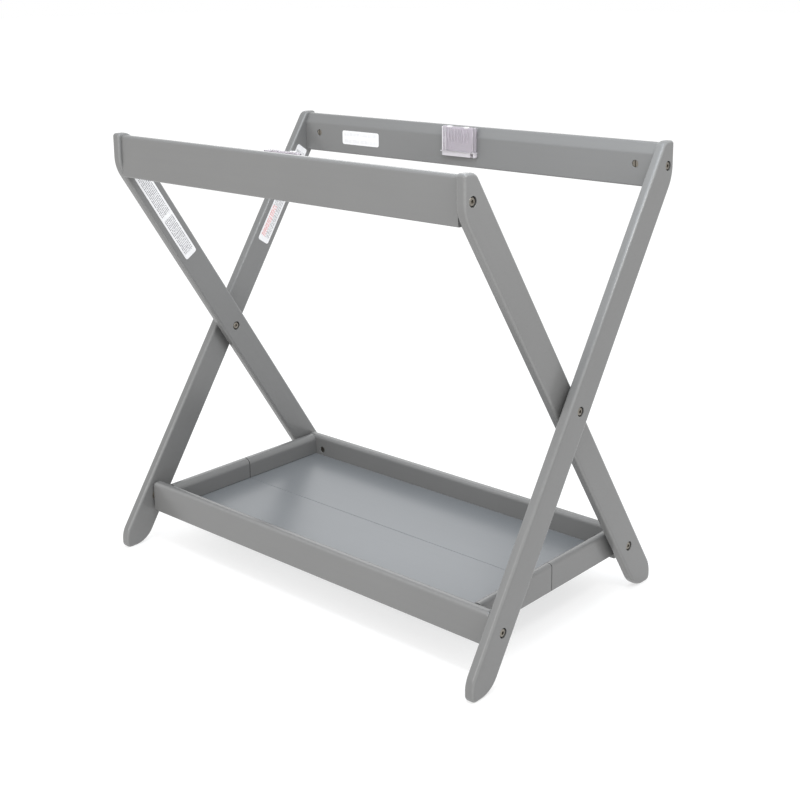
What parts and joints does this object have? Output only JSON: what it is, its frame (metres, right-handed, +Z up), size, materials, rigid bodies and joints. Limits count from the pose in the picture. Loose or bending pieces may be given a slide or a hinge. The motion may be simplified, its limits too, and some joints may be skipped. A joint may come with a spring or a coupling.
{
  "type": "bassinet stand",
  "caption": "Folding wooden bassinet stand with crossed leg frames, wide top rails, clear support brackets and a hinged storage tray that folds upward as the legs close.",
  "frame": {"origin": "on the floor, at the middle of the stand", "axes": "+X along the top rails, +Y from the front rail to the rear rail, +Z up"},
  "size_m": [0.76, 0.474, 0.7],
  "materials": {
    "grey_paint": "satin grey paint on smooth boards",
    "floor_panel": "smooth light grey paint, slightly glossy",
    "steel": "zinc-plated steel",
    "dark_screw": "blackened steel",
    "raw_wood": "bare beech dowels",
    "clear_plastic": "clear moulded plastic",
    "spacer_plastic": "dark nylon spacer",
    "label": "blank white adhesive label"
  },
  "bodies": {
    "outer_frame": {"outer_leg_left": "grey_paint", "outer_leg_right": "grey_paint", "rear_rail": "grey_paint", "rear_rail_bolts": "steel", "rear_rail_barrel_nuts": "steel", "rear_rail_dowels": "raw_wood", "rear_bracket": "clear_plastic", "rear_bracket_screws": "dark_screw", "crossing_bolts": "steel", "crossing_sleeve_nuts": "steel", "crossing_spacers": "spacer_plastic", "outer_leg_label": "label", "rail_label": "label"},
    "inner_frame": {"inner_leg_left": "grey_paint", "inner_leg_right": "grey_paint", "front_rail": "grey_paint", "front_rail_bolts": "steel", "front_rail_barrel_nuts": "steel", "front_rail_dowels": "raw_wood", "front_bracket": "clear_plastic", "front_bracket_screws": "dark_screw", "inner_leg_label": "label", "tray_rear_bolts": "steel", "tray_rear_washers": "steel"},
    "tray_front": {"tray_front_board": "grey_paint", "tray_front_end_left": "grey_paint", "tray_front_end_right": "grey_paint", "tray_front_floor": "floor_panel", "tray_front_dowels": "raw_wood", "tray_front_bolts": "steel", "tray_front_washers": "steel", "tray_front_barrel_nuts": "steel", "hinge_front_leaves": "steel", "hinge_front_screws": "steel", "hinge_pins": "steel"},
    "tray_rear": {"tray_rear_board": "grey_paint", "tray_rear_end_left": "grey_paint", "tray_rear_end_right": "grey_paint", "tray_rear_floor": "floor_panel", "tray_rear_dowels": "raw_wood", "tray_rear_barrel_nuts": "steel", "hinge_rear_leaves": "steel", "hinge_rear_screws": "steel"}
  },
  "joints": [
    {"name": "fold", "type": "hinge", "parent": "outer_frame", "child": "inner_frame", "pos_m": [0, 0, 0.34385], "axis": [-1, 0, 0], "range_deg": [0, 56]},
    {"name": "tray_front_pivot", "type": "hinge", "parent": "outer_frame", "child": "tray_front", "pos_m": [0, -0.1725, 0.078], "axis": [1, 0, 0], "range_deg": [0, 60]},
    {"name": "tray_middle_hinge", "type": "hinge", "parent": "tray_front", "child": "tray_rear", "pos_m": [0, 0, 0.057], "axis": [-1, 0, 0], "range_deg": [0, 176]}
  ],
  "couplings": [
    {"joint": "tray_front_pivot", "follows": "fold", "ratio": 1.0686},
    {"joint": "tray_middle_hinge", "follows": "fold", "ratio": 3.137}
  ]
}
